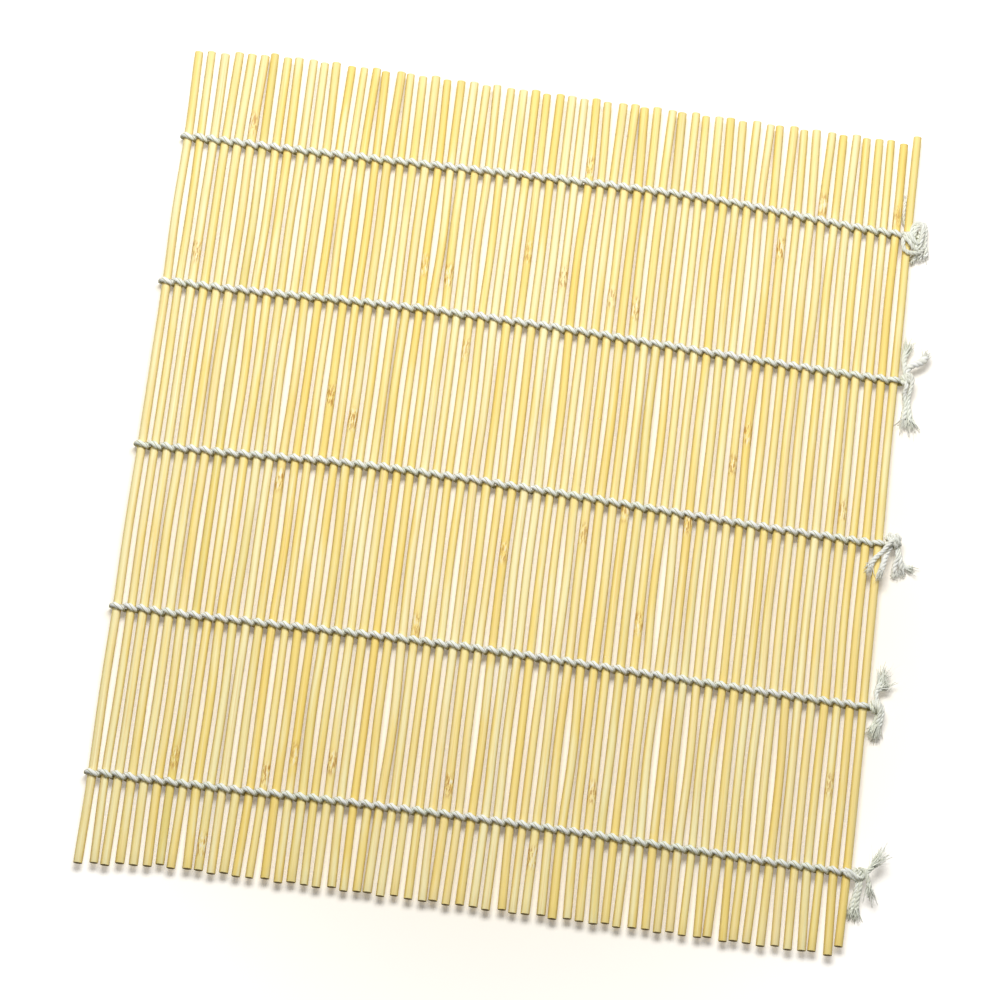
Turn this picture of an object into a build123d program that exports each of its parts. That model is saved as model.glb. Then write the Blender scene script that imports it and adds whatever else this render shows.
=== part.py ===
from build123d import *
import math
import os

# A rolling mat of round bamboo sticks, bound side by side by five rows of twine.
# Lengths are in millimetres. X runs along the twine rows, from the folded edge to the knotted
# edge, Y runs along the sticks, and Z points up from the table. The origin is on the table,
# under the middle stick and the middle row.

# Bamboo sticks
stick_count = 59
sticks_per_link = 2
stick_length = 240.0
stick_diameter = 2.25
stick_end_round = 0.2
far_overhang = 28.7
folded_edge_slip = 2.2
knotted_edge_slip = 2.2
slipped_stick_count = 6
stagger = 0.35
stagger_turn_share = 0.382

# Twine that binds the sticks: each row is one string, folded round the first stick
twine_diameter = 1.1
stick_clearance = 0.125
strand_clearance = 0.2
hinge_clearance = 0.3
rest_flat_share = 0.1
row_spacing = 47.5
row_spacing_shares = (0.935, 1.027, 1.0, 1.0)
middle_row = 2
row_wave = 3.0
row_wave_shares = (1.0, 0.75, 0.9, 0.55, 0.45)
row_wave_peak_shares = (0.69, 0.40, 0.34, 0.45, 0.50)

# Knots at the end of each row, and the short tails that hang out of them
knot_diameter = 4.6
knot_clearance = 0.15
knot_table_clearance = 0.15
knot_core_share = 0.83
knot_turn_tilts = ((0, 72, 20), (65, 20, 0), (-38, 25, 40))
tail_diameter = 1.1
tail_bend_radius = 3.6
tail_table_clearance = 0.05
# For each row, the direction of each tail in degrees from +X, and its length as a share of the longest
longest_tail = 14.0
tail_table_shares = (
    ((-40, 0.55), (-92, 0.62)),
    ((88, 0.88), (52, 0.78), (-58, 0.9), (-96, 1.0)),
    ((-96, 0.84), (-52, 0.76), (-14, 0.66)),
    ((87, 0.82), (50, 0.6), (-62, 0.8), (-98, 0.86)),
    ((46, 0.68), (-26, 0.68), (-64, 0.94), (-98, 0.9)),
)

# Worked out from the sizes above
twine_radius = twine_diameter / 2
stick_radius = stick_diameter / 2
pitch = stick_diameter + twine_diameter + 2 * stick_clearance
strand_offset = (twine_diameter + strand_clearance) / 2
turn_radius = math.hypot(pitch / 2, strand_offset)
axis_height = turn_radius + twine_radius - rest_flat_share * twine_diameter
half_width = pitch * (stick_count - 1) / 2
row_count = len(row_spacing_shares) + 1
knot_radius = knot_diameter / 2
knot_height = knot_radius + knot_table_clearance
knot_distance = stick_radius + knot_clearance + knot_radius
link_count = stick_count // sticks_per_link
straight_up = Vector(0, 0, 1)


def stick_x(stick):
    return stick * pitch - half_width


def stick_y(stick):
    """How far a stick's middle lies from the middle row, with the slip of the edge sticks."""
    far_end = row_place(0) + far_overhang
    place = far_end - stick_length / 2
    place += stagger * math.sin(2 * math.pi * stagger_turn_share * stick)
    place -= folded_edge_slip * max(0, 1 - stick / slipped_stick_count)
    if stick == stick_count - 1:
        place += knotted_edge_slip
    return place


def wave(row, x):
    """A row runs out of line by one smooth wave, which is highest at its own peak."""
    share = min(max((x + half_width) / (2 * half_width), 0), 1)
    peak = row_wave_peak_shares[row]
    phase = share / peak if share < peak else (1 - share) / (1 - peak)
    return row_wave * row_wave_shares[row] * (1 - math.cos(math.pi * phase)) / 2


def row_place(row):
    """The straight line that a row follows, measured from the middle row."""
    before_middle = sum(row_spacing_shares[row:middle_row])
    after_middle = sum(row_spacing_shares[middle_row:row])
    return row_spacing * (before_middle - after_middle) - wave(middle_row, 0)


def crossing(row, stick, end, side):
    """Where a strand passes the gap before (end -1) or after (end 1) a stick, at the sticks' height."""
    x = stick_x(stick) + end * pitch / 2
    y = row_place(row) + wave(row, x) + side * strand_offset
    return Vector(x, y, axis_height)


def turn_point(start, finish, rise, angle):
    """A point on the half circle from start to finish, which stands upright, at an angle in degrees."""
    middle = (start + finish) * 0.5
    outward = start - middle
    upward = straight_up * (rise * outward.length)
    return middle + outward * math.cos(math.radians(angle)) + upward * math.sin(math.radians(angle))


def knot_centre(row):
    x = stick_x(stick_count - 1) + knot_distance
    return Vector(x, row_place(row) + wave(row, x), knot_height)


def entry_angle(row, start, finish, rise):
    """How far round the last stick a strand goes before it meets its knot."""
    reach = knot_radius + twine_radius + knot_clearance
    angle = 180
    while (turn_point(start, finish, rise, angle) - knot_centre(row)).length < reach:
        angle -= 1
    return angle


def half_turn(row, stick, over, link_sticks):
    """Three points of a strand's turn over or under one stick. It stops short at the link's hinges."""
    rise = 1 if over else -1
    folded = stick == 0
    start = crossing(row, stick, -1, 0 if folded else rise)
    finish = crossing(row, stick, 1, -rise)
    hinge_angle = math.degrees(math.asin(hinge_clearance / turn_radius))
    first = hinge_angle if stick == link_sticks[0] and not folded else 0
    last = 180 - hinge_angle if stick == link_sticks[-1] else 180
    if stick == stick_count - 1:
        last = entry_angle(row, start, finish, rise)
    angles = (first, (first + last) / 2, last)
    return [turn_point(start, finish, rise, angle) for angle in angles]


def make_sticks(name, link_sticks):
    """The separate bamboo sticks of one link, with their cut ends a little rounded."""
    with BuildPart() as sticks:
        for stick in link_sticks:
            near_end = stick_y(stick) - stick_length / 2
            with BuildSketch(Plane((stick_x(stick), near_end, axis_height), z_dir=(0, -1, 0))):
                Circle(stick_radius)
            extrude(amount=-stick_length)
        fillet(sticks.edges().filter_by(GeomType.CIRCLE), stick_end_round)
    sticks.part.label = name
    export_step(sticks.part, f"parts/{name}.step")
    return sticks.part


def make_twine(name, link_sticks):
    """Both strands of every row on one link. Each strand goes over one stick and under the next."""
    with BuildPart() as twine:
        for row in range(row_count):
            for strand in range(2):
                with BuildLine() as route:
                    for stick in link_sticks:
                        ThreePointArc(*half_turn(row, stick, (stick + strand) % 2 == 0, link_sticks))
                with BuildSketch(Plane(route.line @ 0, z_dir=route.line % 0)):
                    Circle(twine_radius)
                sweep()
        split(bisect_by=Plane.XY)
    twine.part.label = name
    export_step(twine.part, f"parts/{name}.step")
    return twine.part


def make_knots():
    """One knot for each row: turns of twine drawn tight round a core."""
    with BuildPart() as knots:
        for row in range(row_count):
            with Locations(knot_centre(row)):
                Sphere(knot_radius * knot_core_share)
                for tilt in knot_turn_tilts:
                    Torus(knot_radius - twine_radius, twine_radius, rotation=tilt)
    knots.part.label = "end_knots"
    export_step(knots.part, "parts/end_knots.step")
    return knots.part


def make_tails():
    """Short ends of twine that leave each knot level, droop to the table and lie along it."""
    rest_height = tail_diameter / 2 + tail_table_clearance
    drop = knot_height - rest_height
    bend = math.acos(1 - drop / (2 * tail_bend_radius))
    step_out = tail_bend_radius * math.sin(bend)
    with BuildPart() as tails:
        for row in range(row_count):
            for direction, length_share in tail_table_shares[row]:
                out = Vector(1, 0, 0).rotate(Axis.Z, direction)
                start = knot_centre(row) + out * (knot_radius + knot_clearance)
                halfway = start + out * step_out - straight_up * (drop / 2)
                landing = start + out * (2 * step_out) - straight_up * drop
                lying = longest_tail * length_share - 2 * tail_bend_radius * bend
                with BuildLine() as route:
                    TangentArc(start, halfway, tangent=out)
                    TangentArc(halfway, landing, tangent=route.line % 1)
                    Line(landing, landing + out * max(lying, tail_diameter))
                with BuildSketch(Plane(start, z_dir=out)):
                    Circle(tail_diameter / 2)
                sweep()
    tails.part.label = "knot_tails"
    export_step(tails.part, "parts/knot_tails.step")
    return tails.part


os.makedirs("parts", exist_ok=True)

# Links are numbered from the folded edge. The last one, at the knots, takes the sticks left over.
pieces = []
for link in range(link_count):
    first_stick = link * sticks_per_link
    after_last = stick_count if link == link_count - 1 else first_stick + sticks_per_link
    link_sticks = range(first_stick, after_last)
    if link == link_count - 1:
        pieces.append(make_sticks("knot_edge_sticks", link_sticks))
        pieces.append(make_twine("knot_edge_twine", link_sticks))
    else:
        pieces.append(make_sticks(f"stick_pair_{link + 1:02d}", link_sticks))
        pieces.append(make_twine(f"twine_wraps_{link + 1:02d}", link_sticks))
pieces.append(make_knots())
pieces.append(make_tails())

print("pitch", round(pitch, 3), "turn radius", round(turn_radius, 3), "axis height", round(axis_height, 3))
print("mat width", round(2 * half_width + stick_diameter, 1), "pieces", len(pieces))
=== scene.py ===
import math
import random

import bpy
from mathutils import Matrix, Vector, noise


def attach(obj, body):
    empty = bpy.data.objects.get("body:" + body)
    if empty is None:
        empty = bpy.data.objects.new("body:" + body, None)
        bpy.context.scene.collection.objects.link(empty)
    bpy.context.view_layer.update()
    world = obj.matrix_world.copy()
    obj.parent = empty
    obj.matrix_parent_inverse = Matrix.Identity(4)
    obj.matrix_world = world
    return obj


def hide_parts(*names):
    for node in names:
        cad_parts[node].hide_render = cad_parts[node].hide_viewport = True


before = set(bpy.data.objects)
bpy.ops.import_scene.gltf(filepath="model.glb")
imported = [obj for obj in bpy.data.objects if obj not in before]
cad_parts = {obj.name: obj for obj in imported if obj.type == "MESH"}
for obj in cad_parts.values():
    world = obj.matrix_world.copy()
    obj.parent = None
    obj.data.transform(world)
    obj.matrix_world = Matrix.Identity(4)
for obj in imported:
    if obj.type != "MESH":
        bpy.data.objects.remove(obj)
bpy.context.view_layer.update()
print("frame loaded, nodes:", len(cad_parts))

# The mat's layout in metres, as its CAD has it. X runs along the rows of twine, Y along the sticks.
layout = {
    "stickCount": 59,
    "sticksPerLink": 2,
    "pitch": 0.0036,
    "stickLength": 0.240,
    "stickRadius": 0.001125,
    "axisHeight": 0.0023538,
    "farOverhang": 0.0287,
    "foldedEdgeSlip": 0.0022,
    "knottedEdgeSlip": 0.0022,
    "slippedSticks": 6,
    "stagger": 0.00035,
    "staggerTurns": 0.382,
    "rowSpacing": 0.0475,
    "rowSpacingShares": (0.935, 1.027, 1.0, 1.0),
    "middleRow": 2,
    "rowWave": 0.003,
    "rowWaveShares": (1.0, 0.75, 0.9, 0.55, 0.45),
    "rowWavePeaks": (0.69, 0.40, 0.34, 0.45, 0.50),
    "knotDistance": 0.003575,
    "knotHeight": 0.00245,
}
pitch = layout["pitch"]
axisHeight = layout["axisHeight"]
halfWidth = pitch * (layout["stickCount"] - 1) / 2
rowCount = len(layout["rowSpacingShares"]) + 1
linkCount = layout["stickCount"] // layout["sticksPerLink"]
lastStick = layout["stickCount"] - 1
up = Vector((0, 0, 1))


def clamp(value, low=0, high=1):
    return min(max(value, low), high)


def stickX(stick):
    return stick * pitch - halfWidth


def rowWave(row, x):
    share = clamp((x + halfWidth) / (2 * halfWidth))
    peak = layout["rowWavePeaks"][row]
    phase = share / peak if share < peak else (1 - share) / (1 - peak)
    return layout["rowWave"] * layout["rowWaveShares"][row] * (1 - math.cos(math.pi * phase)) / 2


def rowPlace(row):
    shares = layout["rowSpacingShares"]
    middle = layout["middleRow"]
    steps = sum(shares[row:middle]) - sum(shares[middle:row])
    return layout["rowSpacing"] * steps - rowWave(middle, 0)


def stickMiddle(stick):
    place = rowPlace(0) + layout["farOverhang"] - layout["stickLength"] / 2
    place += layout["stagger"] * math.sin(2 * math.pi * layout["staggerTurns"] * stick)
    place -= layout["foldedEdgeSlip"] * max(0, 1 - stick / layout["slippedSticks"])
    if stick == lastStick:
        place += layout["knottedEdgeSlip"]
    return place


def knotCentre(row):
    x = stickX(lastStick) + layout["knotDistance"]
    return Vector((x, rowPlace(row) + rowWave(row, x), layout["knotHeight"]))


def sticksOfLink(link):
    first = link * layout["sticksPerLink"]
    after = layout["stickCount"] if link == linkCount - 1 else first + layout["sticksPerLink"]
    return range(first, after)


def bodyOfLink(link):
    return "knot_edge" if link == linkCount - 1 else f"link_{link + 1:02d}"


def deselectAll():
    if bpy.context.object and bpy.context.object.mode != "OBJECT":
        bpy.ops.object.mode_set(mode="OBJECT")
    bpy.ops.object.select_all(action="DESELECT")


def makeActive(piece):
    deselectAll()
    piece.select_set(True)
    bpy.context.view_layer.objects.active = piece


def joinPieces(pieces, name):
    makeActive(pieces[0])
    for piece in pieces:
        piece.select_set(True)
    bpy.ops.object.join()
    joined = bpy.context.object
    joined.name = joined.data.name = name
    return joined


# The camera has the photograph's view, fitted to the ends of the rows and the corners of the mat
camera = {
    "place": (-0.048, -0.359, 1.144),
    "turn": (16.86, -4.34, 6.78),
    "lens": 153.5,
    "sensor": 36.0,
    "nearest": 0.01,
    "farthest": 50,
}


def placeCamera():
    turn = [math.radians(angle) for angle in camera["turn"]]
    bpy.ops.object.camera_add(location=camera["place"], rotation=turn)
    placed = bpy.context.object
    placed.data.lens = camera["lens"]
    placed.data.sensor_width = camera["sensor"]
    placed.data.clip_start = camera["nearest"]
    placed.data.clip_end = camera["farthest"]
    bpy.context.scene.camera = placed


placeCamera()
print("camera placed")


# Shader helpers: each adds a node to a tree, and most give back the socket to go on from
def newMaterial(name):
    material = bpy.data.materials.new(name)
    material.use_nodes = True
    material.node_tree.nodes.clear()
    return material, material.node_tree


def addNode(tree, kind, inputs=None, **settings):
    node = tree.nodes.new(kind)
    for key, value in settings.items():
        setattr(node, key, value)
    for key, value in (inputs or {}).items():
        if hasattr(value, "links"):  # a socket, not a plain value
            tree.links.new(value, node.inputs[key])
        else:
            node.inputs[key].default_value = value
    return node


def fromScreen(red, green, blue):
    # a colour as it is read off a screen, 0 to 255, made linear
    linear = (((c / 255 + 0.055) / 1.055) ** 2.4 if c > 10 else c / 255 / 12.92 for c in (red, green, blue))
    return (*linear, 1)


def mixColours(tree, amount, first, second):
    return addNode(tree, "ShaderNodeMix", {0: amount, 6: first, 7: second}, data_type="RGBA").outputs[2]


def rangeOf(tree, value, low, high, newLow=0.0, newHigh=1.0, smooth=True):
    ends = {"Value": value, "From Min": low, "From Max": high, "To Min": newLow, "To Max": newHigh}
    shape = "SMOOTHSTEP" if smooth else "LINEAR"
    return addNode(tree, "ShaderNodeMapRange", ends, interpolation_type=shape).outputs["Result"]


def mathOf(tree, operation, first, second=0.5):
    return addNode(tree, "ShaderNodeMath", {0: first, 1: second}, operation=operation).outputs[0]


def times(tree, first, second):
    return mathOf(tree, "MULTIPLY", first, second)


def noiseOf(tree, vector, scale, detail, roughness=0.5):
    inputs = {"Vector": vector, "Scale": scale, "Detail": detail, "Roughness": roughness}
    return addNode(tree, "ShaderNodeTexNoise", inputs).outputs["Fac"]


def attributeOf(tree, name):
    return addNode(tree, "ShaderNodeAttribute", attribute_name=name).outputs


def bumpOf(tree, height, strength, distance):
    inputs = {"Height": height, "Strength": strength, "Distance": distance}
    return addNode(tree, "ShaderNodeBump", inputs).outputs[0]


def addSurface(tree, inputs):
    shader = addNode(tree, "ShaderNodeBsdfPrincipled", inputs)
    addNode(tree, "ShaderNodeOutputMaterial", {0: shader.outputs[0]})


# Long soft lines along a stick, for its bands, its grain, its fibres and the flecks of its scars
def makeStreakGroup():
    group = bpy.data.node_groups.new("longStreaks", "ShaderNodeTree")
    group.interface.new_socket("Vector", in_out="INPUT", socket_type="NodeSocketVector")
    for name, value in (("Across", 900.0), ("Along", 12.0), ("Seed", 0.0), ("Detail", 3.0)):
        socket = group.interface.new_socket(name, in_out="INPUT", socket_type="NodeSocketFloat")
        socket.default_value = value
    group.interface.new_socket("Streaks", in_out="OUTPUT", socket_type="NodeSocketFloat")
    entry = addNode(group, "NodeGroupInput").outputs
    across, along = entry["Across"], entry["Along"]
    scale = addNode(group, "ShaderNodeCombineXYZ", {0: across, 1: along, 2: across}).outputs[0]
    stretch = addNode(group, "ShaderNodeVectorMath", {0: entry["Vector"], 1: scale}, operation="MULTIPLY")
    inputs = {"Vector": stretch.outputs[0], "W": entry["Seed"], "Detail": entry["Detail"]}
    inputs.update({"Scale": 1.0, "Roughness": 0.55})
    lines = addNode(group, "ShaderNodeTexNoise", inputs, noise_dimensions="4D")
    addNode(group, "NodeGroupOutput", {"Streaks": lines.outputs["Fac"]})
    return group


streakGroup = makeStreakGroup()


def streaksOf(tree, vector, seed, across, along, detail):
    inputs = {"Vector": vector, "Seed": seed, "Across": across, "Along": along, "Detail": detail}
    return addNode(tree, "ShaderNodeGroup", inputs, node_tree=streakGroup).outputs["Streaks"]


bambooLook = {
    "cream": (255, 247, 196),
    "straw": (255, 237, 160),
    "golden": (252, 221, 118),
    "tan": (234, 196, 122),
    "green": (224, 212, 128),
    "blush": (255, 233, 172),
    # the colour of the painted shade on both sides of each stick
    "flankShade": (228, 200, 106),
    "scarBrown": (186, 128, 52),
    "scarWhite": (255, 252, 236),
    # how fine each pattern is across the stick and along it, and its detail
    "patterns": {
        "band": (620.0, 5.0, 2.0),
        "patch": (300.0, 26.0, 3.0),
        "grain": (2400.0, 22.0, 3.0),
        "fibre": (9000.0, 80.0, 2.0),
        "fleck": (2300.0, 420.0, 3.0),
    },
    # tones laid over each other: the pattern, where it starts and where it is full, its strength, its colour
    "layers": (
        ("band", 0.5, 0.36, 0.5, "golden"),
        ("patch", 0.5, 0.68, 0.65, "golden"),
        ("patch", 0.5, 0.34, 0.75, "cream"),
        ("grain", 0.52, 0.74, 0.55, "tan"),
        ("grain", 0.46, 0.26, 0.4, "cream"),
        ("fibre", 0.45, 0.78, 0.3, "tan"),
    ),
    "seedSpan": 90.0,
    "flankShadeSpan": (0.45, 0.98),
    "scarReach": (0.0046, 0.0016),
    "haloReach": (0.010, 0.001),
    "haloStrength": 0.3,
    "brownStrength": 0.85,
    "whiteStrength": 0.7,
    "roughness": (0.42, 0.62),
    "grainHeight": 0.00006,
}


def makeBamboo():
    material, tree = newMaterial("pale_bamboo")
    place = addNode(tree, "ShaderNodeTexCoord").outputs["Object"]
    tone = attributeOf(tree, "stickTone")
    creaminess, goldness, seed = addNode(tree, "ShaderNodeSeparateColor", {0: tone["Color"]}).outputs
    greenness = tone["Alpha"]
    bigSeed = times(tree, seed, bambooLook["seedSpan"])
    patterns = bambooLook["patterns"]
    pattern = {name: streaksOf(tree, place, bigSeed, *patterns[name]) for name in patterns}

    def colourOf(name):
        return fromScreen(*bambooLook[name])

    def layTone(under, name, start, full, strength, colour):
        amount = rangeOf(tree, pattern[name], start, full, 0.0, strength)
        return mixColours(tree, amount, under, colourOf(colour))

    # the stick's own tone, then patches, grain and fibre lines over it
    base = mixColours(tree, creaminess, colourOf("straw"), colourOf("cream"))
    base = layTone(base, "band", 0.46, 0.62, 0.75, "blush")
    base = mixColours(tree, greenness, base, colourOf("green"))
    base = mixColours(tree, goldness, base, colourOf("golden"))
    for layer in bambooLook["layers"]:
        base = layTone(base, *layer)

    # painted shade: each stick is mixed towards a deeper honey tone on its two sides, broken up by the grain
    flankShade = rangeOf(tree, attributeOf(tree, "flankShade")["Fac"], *bambooLook["flankShadeSpan"])
    flankShade = times(tree, flankShade, rangeOf(tree, pattern["grain"], 0.2, 0.6, 0.55, 0.8))
    base = mixColours(tree, flankShade, base, colourOf("flankShade"))

    # the scar where a leaf sheath grew: ragged brown flecks with paler wood beside them
    away = mathOf(tree, "ABSOLUTE", attributeOf(tree, "scarDistance")["Fac"])
    strength = rangeOf(tree, seed, 0.0, 0.7, 0.65, 1.0, smooth=False)
    nearScar = times(tree, rangeOf(tree, away, *bambooLook["scarReach"]), strength)
    fleck = pattern["fleck"]
    brown = times(tree, nearScar, rangeOf(tree, fleck, 0.5, 0.58, 0.0, bambooLook["brownStrength"]))
    white = times(tree, nearScar, rangeOf(tree, fleck, 0.47, 0.38, 0.0, bambooLook["whiteStrength"]))
    halo = rangeOf(tree, away, *bambooLook["haloReach"], 0.0, bambooLook["haloStrength"])
    for amount, colour in ((halo, "golden"), (white, "scarWhite"), (brown, "scarBrown")):
        base = mixColours(tree, amount, base, colourOf(colour))

    relief = mathOf(tree, "ADD", times(tree, pattern["grain"], 0.7), times(tree, pattern["fibre"], 0.3))
    relief = mathOf(tree, "SUBTRACT", relief, times(tree, brown, 0.6))
    addSurface(tree, {
        "Base Color": base,
        "Roughness": rangeOf(tree, pattern["fibre"], 0.2, 0.8, *bambooLook["roughness"], smooth=False),
        "IOR": 1.45,
        "Specular IOR Level": 0.3,
        "Normal": bumpOf(tree, relief, 0.5, bambooLook["grainHeight"]),
    })
    return material


# The sawn ends are darker than the outside, partly the end grain's own tone and partly painted shade, with
# the dots of the fibre bundles
cutLook = {
    "ground": (130, 112, 70),
    "darkGround": (92, 78, 48),
    "dots": (50, 40, 26),
    "dotScale": 4200.0,
    "speckleScale": 2500.0,
    "relief": 0.00005,
}


def makeCutBamboo():
    material, tree = newMaterial("sawn_bamboo_end_tone_and_shade")
    place = addNode(tree, "ShaderNodeTexCoord").outputs["Object"]
    dotInputs = {"Vector": place, "Scale": cutLook["dotScale"]}
    dots = addNode(tree, "ShaderNodeTexVoronoi", dotInputs, feature="F1").outputs["Distance"]
    speckle = rangeOf(tree, noiseOf(tree, place, cutLook["speckleScale"], 3.0), 0.35, 0.7)
    ground = mixColours(tree, speckle, fromScreen(*cutLook["ground"]), fromScreen(*cutLook["darkGround"]))
    base = mixColours(tree, rangeOf(tree, dots, 0.32, 0.12, 0.0, 0.8), ground, fromScreen(*cutLook["dots"]))
    addSurface(tree, {
        "Base Color": base,
        "Roughness": 0.85,
        "Specular IOR Level": 0.2,
        "Normal": bumpOf(tree, dots, 0.6, cutLook["relief"]),
    })
    return material


bamboo = makeBamboo()
cutBamboo = makeCutBamboo()
print("bamboo materials made")


# Round sticks. Sizes are in metres, and the radius is given beside the CAD's
stickLook = {
    "firstSeed": 300,
    "sides": 16,
    "cutsAlong": 55,
    "endBevel": 0.00012,
    "radiusMean": 1.065,
    "radiusAtFold": 1.12,
    "foldSticks": 25,
    "radiusSpread": 0.04,
    "widest": 1.14,
    "thinnest": 0.93,
    "taper": 0.03,
    "scarSwell": 1.07,
    "scarLength": 0.0022,
    "waviness": 0.02,
    "wavesPerMetre": 90,
    "cutFacing": 0.6,
    "smoothAngle": 40,
    "rowDrift": 0.0001,
    "spanBow": 0.0002,
    "spanRise": 0.6,
    "endSplay": 0.00044,
    "mostSplay": 0.0005,
    "endRise": (-0.00006, 0.00012),
    # each tone of a stick that doesn't stand out: its mean, its spread and its most
    "creaminess": (0.5, 0.35, 1),
    "goldness": (0.05, 0.2, 0.5),
    "greenness": (-0.05, 0.16, 0.4),
}
# Sticks that stand out in the photograph, counted from 0 at the folded edge: creaminess, goldness, greenness
standOut = {
    3: (0.6, 0.3, 0.1), 6: (0.2, 0.1, 0.7), 12: (0.1, 0.8, 0.0), 14: (0.1, 0.6, 0.25),
    15: (0.2, 0.55, 0.1), 16: (0.45, 0.35, 0.3), 20: (0.2, 0.7, 0.1), 21: (0.4, 0.5, 0.1),
    29: (0.2, 0.55, 0.2), 36: (0.3, 0.5, 0.1), 43: (0.3, 0.6, 0.1), 47: (0.4, 0.5, 0.1),
    52: (0.4, 0.45, 0.1), 57: (0.2, 0.55, 0.1), 58: (0.3, 0.35, 0.1),
}
# Where a node scar lies on a stick, as a share of the length from the near end
scars = {
    2: (0.745,), 5: (0.91,), 6: (0.125,), 9: (0.03,), 11: (0.47,), 13: (0.12,), 14: (0.58,), 15: (0.15,),
    16: (0.555,), 18: (0.145,), 20: (0.76,), 22: (0.75,), 23: (0.32,), 24: (0.66,), 27: (0.135,),
    28: (0.795,), 29: (0.42,), 31: (0.77,), 32: (0.91,), 34: (0.065,), 35: (0.75, 0.455), 37: (0.74,),
    38: (0.15, 0.49), 40: (0.355,), 43: (0.485,), 46: (0.565,), 47: (0.605,), 48: (0.84,), 51: (0.905,),
    55: (0.525,), 56: (0.195,), 57: (0.905,),
}


def selectEdges(mesh, wanted):
    # leaves edit mode on, with the edges selected whose two ends are at a wanted X
    bpy.ops.object.mode_set(mode="EDIT")
    bpy.ops.mesh.select_mode(type="EDGE")
    bpy.ops.mesh.select_all(action="DESELECT")
    bpy.ops.object.mode_set(mode="OBJECT")
    for edge in mesh.edges:
        edge.select = wanted(*(mesh.vertices[v].co.x for v in edge.vertices))
    bpy.ops.object.mode_set(mode="EDIT")


def newGuide(kind, pointCount, resolution):  # resolution: the steps between two points
    # a curve with one spline, whose points are still to be placed
    line = bpy.data.curves.new("route", "CURVE")
    line.dimensions = "3D"
    line.resolution_u = resolution
    spline = line.splines.new(kind)
    (spline.bezier_points if kind == "BEZIER" else spline.points).add(pointCount - 1)
    guide = bpy.data.objects.new("route", line)
    bpy.context.scene.collection.objects.link(guide)
    return guide, spline


def straightStick(radius, length):
    # along X from 0, divided along its length, with its rims worn a little
    deselectAll()
    bpy.ops.mesh.primitive_cylinder_add(
        vertices=stickLook["sides"], radius=radius, depth=length,
        location=(length / 2, 0, 0), rotation=(0, math.pi / 2, 0),
    )
    piece = bpy.context.object
    bpy.ops.object.transform_apply(location=True, rotation=True, scale=True)
    selectEdges(piece.data, lambda a, b: abs(a - b) > length / 2)
    bpy.ops.mesh.subdivide(number_cuts=stickLook["cutsAlong"])
    atEnd = stickLook["endBevel"] / 10
    selectEdges(piece.data, lambda a, b: max(min(a, length - a), min(b, length - b)) < atEnd)
    bpy.ops.mesh.bevel(offset=stickLook["endBevel"], segments=2, profile=0.6)
    bpy.ops.object.mode_set(mode="OBJECT")
    return piece


def bowPoints(stick, nearEnd, farEnd, rng):
    # the stick's own line, held at the rows and free at both ends: Y, sideways and rise of each point
    rows = [rowPlace(row) + rowWave(row, stickX(stick)) for row in reversed(range(rowCount))]

    def freeEnd(place):
        splay = clamp(rng.gauss(0, stickLook["endSplay"]), -stickLook["mostSplay"], stickLook["mostSplay"])
        return place, splay, rng.uniform(*stickLook["endRise"])

    bow = [freeEnd(nearEnd)]
    for index, place in enumerate(rows):
        bow.append((place, rng.gauss(0, stickLook["rowDrift"]), 0.0))
        if index < rowCount - 1:
            between = (place + rows[index + 1]) / 2
            span = stickLook["spanBow"]
            bow.append((between, rng.gauss(0, span), rng.gauss(0, span) * stickLook["spanRise"]))
    bow.append(freeEnd(farEnd))
    return bow


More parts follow.
